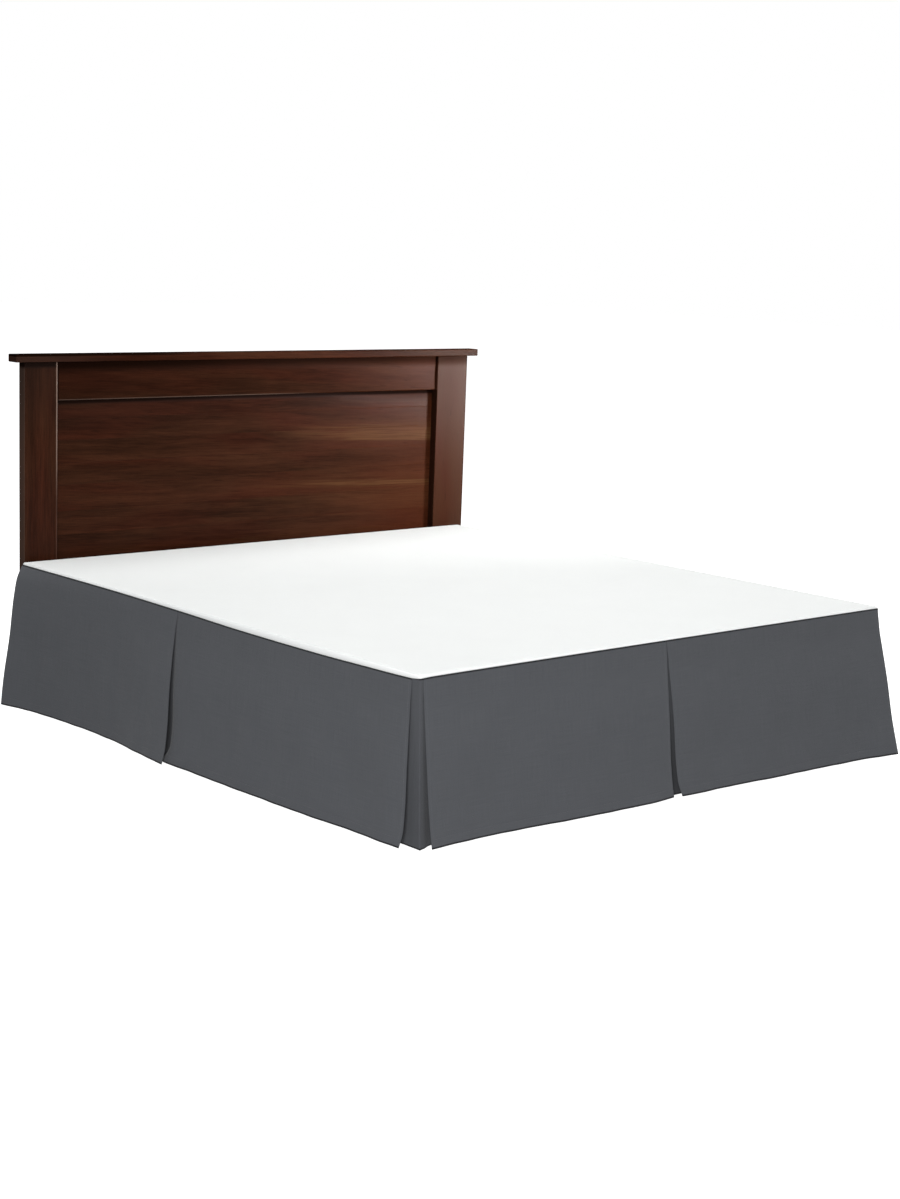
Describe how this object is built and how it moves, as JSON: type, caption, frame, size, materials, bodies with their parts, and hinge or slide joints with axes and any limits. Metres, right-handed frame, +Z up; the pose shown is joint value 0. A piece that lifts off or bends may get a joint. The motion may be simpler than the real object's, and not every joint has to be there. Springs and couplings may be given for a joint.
{
  "type": "bed skirt on a bed base with headboard",
  "caption": "Tailored bed skirt with a white deck and grey pleated drop, hanging on a plain bed base with a dark wood headboard.",
  "frame": {"origin": "centre of the whole object's box, at floor level", "axes": "+Z up, +Y from the foot of the bed to the headboard, +X to the right seen from the foot"},
  "size_m": [2.135, 2.238, 1.1453],
  "materials": {
    "skirt_cloth": "matt plain-woven cotton blend, charcoal grey",
    "deck_cloth": "matt white platform cloth",
    "box_cover": "matt plain ticking",
    "wood": "dark reddish brown wood grain under a satin lacquer",
    "steel": "satin black powder coat",
    "plastic": "matt black moulded plastic"
  },
  "bodies": {
    "root": {"box_spring": "box_cover", "bracket_left": "steel", "bracket_right": "steel", "cap": "wood", "deck": "deck_cloth", "glide_left_1": "plastic", "glide_left_2": "plastic", "glide_middle_1": "plastic", "glide_middle_2": "plastic", "glide_middle_3": "plastic", "glide_middle_4": "plastic", "glide_right_1": "plastic", "glide_right_2": "plastic", "headboard_panel": "wood", "insert_corner_left": "skirt_cloth", "insert_corner_right": "skirt_cloth", "insert_foot": "skirt_cloth", "insert_left": "skirt_cloth", "insert_right": "skirt_cloth", "leg_left_1": "steel", "leg_left_2": "steel", "leg_middle_1": "steel", "leg_middle_2": "steel", "leg_middle_3": "steel", "leg_middle_4": "steel", "leg_right_1": "steel", "leg_right_2": "steel", "panel_foot_left": "skirt_cloth", "panel_foot_right": "skirt_cloth", "panel_left_foot": "skirt_cloth", "panel_left_head": "skirt_cloth", "panel_right_foot": "skirt_cloth", "panel_right_head": "skirt_cloth", "rail_low": "wood", "rail_top": "wood", "side_rail_left": "steel", "side_rail_right": "steel", "slat_1": "steel", "slat_2": "steel", "slat_3": "steel", "slat_4": "steel", "stile_left": "wood", "stile_right": "wood"}
  },
  "joints": []
}
